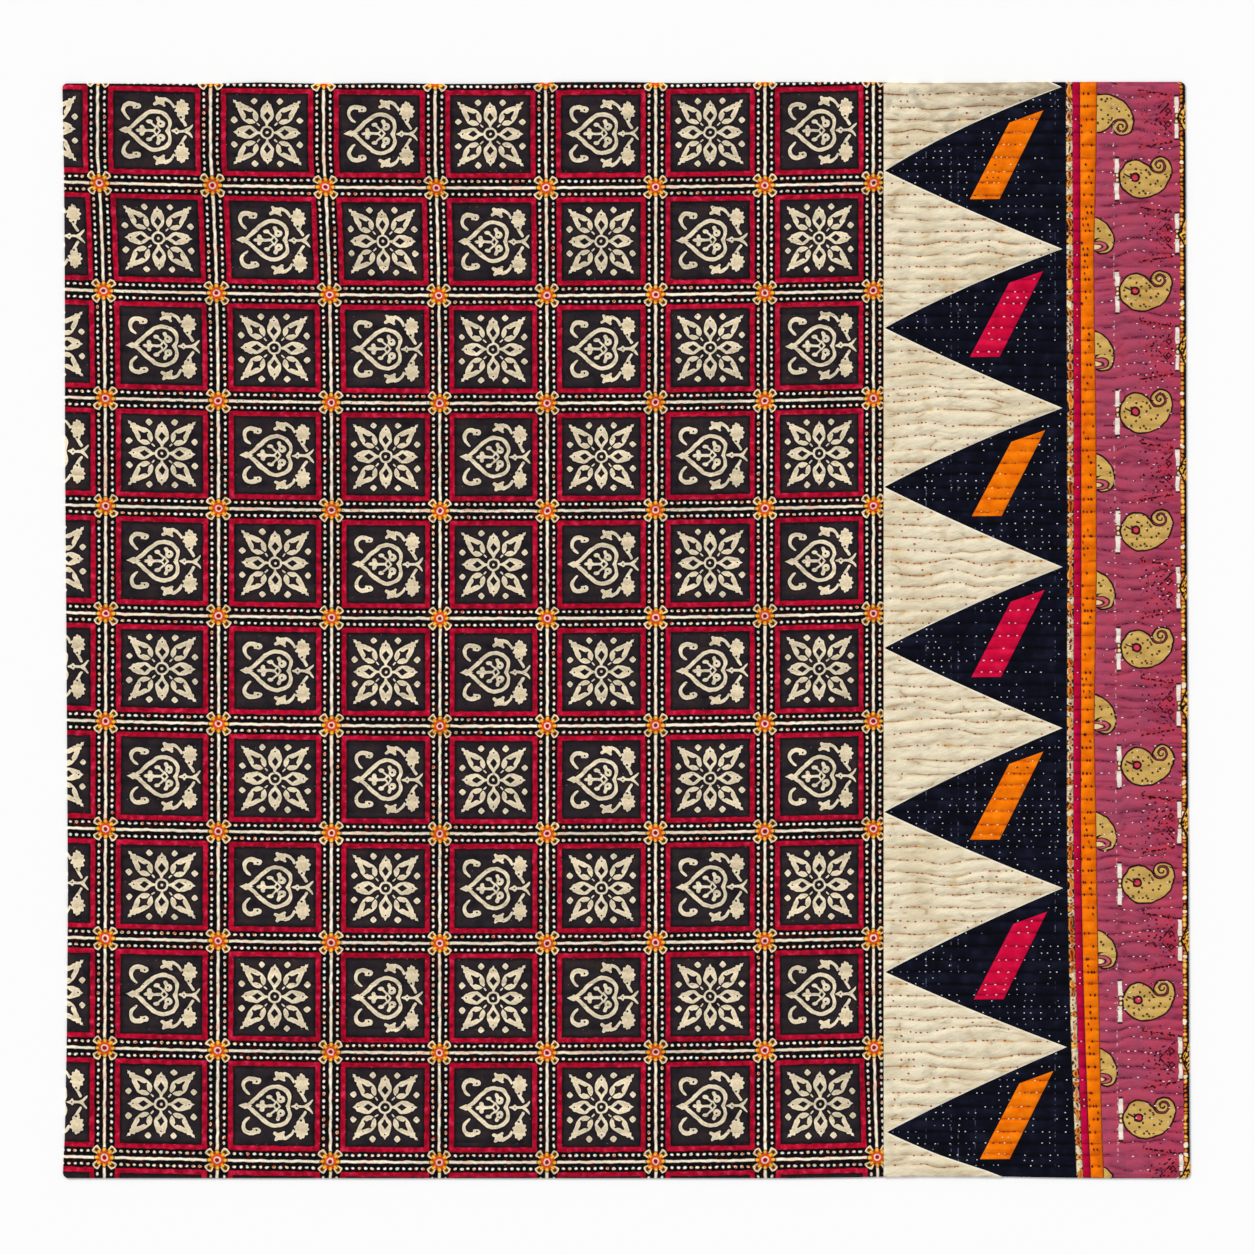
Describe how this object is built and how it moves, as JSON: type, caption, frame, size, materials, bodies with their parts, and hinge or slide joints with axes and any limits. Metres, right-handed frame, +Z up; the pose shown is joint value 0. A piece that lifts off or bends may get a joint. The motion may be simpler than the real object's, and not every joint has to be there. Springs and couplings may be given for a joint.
{
  "type": "kantha quilt",
  "caption": "Hand-quilted cotton cover lying flat, with a printed check field, a sawtooth side border, slanted patches, narrow strips and a paisley border.",
  "frame": {"origin": "centre of the underside, on the surface that the quilt lies on", "axes": "+Z up out of the quilt's face, +X across the quilt from the printed field towards the paisley border, +Y up its face"},
  "size_m": [1.1275, 1.096, 0.0058],
  "materials": {
    "field_print": "soft matte dark cotton, block printed with a red, cream and orange check",
    "cream_cotton": "soft matte plain-weave cotton, washed and lightly stained",
    "navy_cotton": "soft matte plain-weave cotton",
    "orange_cotton": "soft matte plain-weave cotton",
    "crimson_cotton": "soft matte plain-weave cotton",
    "chain_print": "soft matte cotton with a small printed chain",
    "paisley_print": "soft matte cotton printed with tan paisleys"
  },
  "bodies": {
    "root": {"field": "field_print", "cream_panel": "cream_cotton", "navy_teeth": "navy_cotton", "patch_1": "orange_cotton", "patch_2": "crimson_cotton", "patch_3": "orange_cotton", "patch_4": "crimson_cotton", "patch_5": "orange_cotton", "patch_6": "crimson_cotton", "patch_7": "orange_cotton", "chain_strip": "chain_print", "crimson_strip": "crimson_cotton", "orange_strip": "orange_cotton", "paisley_border": "paisley_print"}
  },
  "joints": []
}
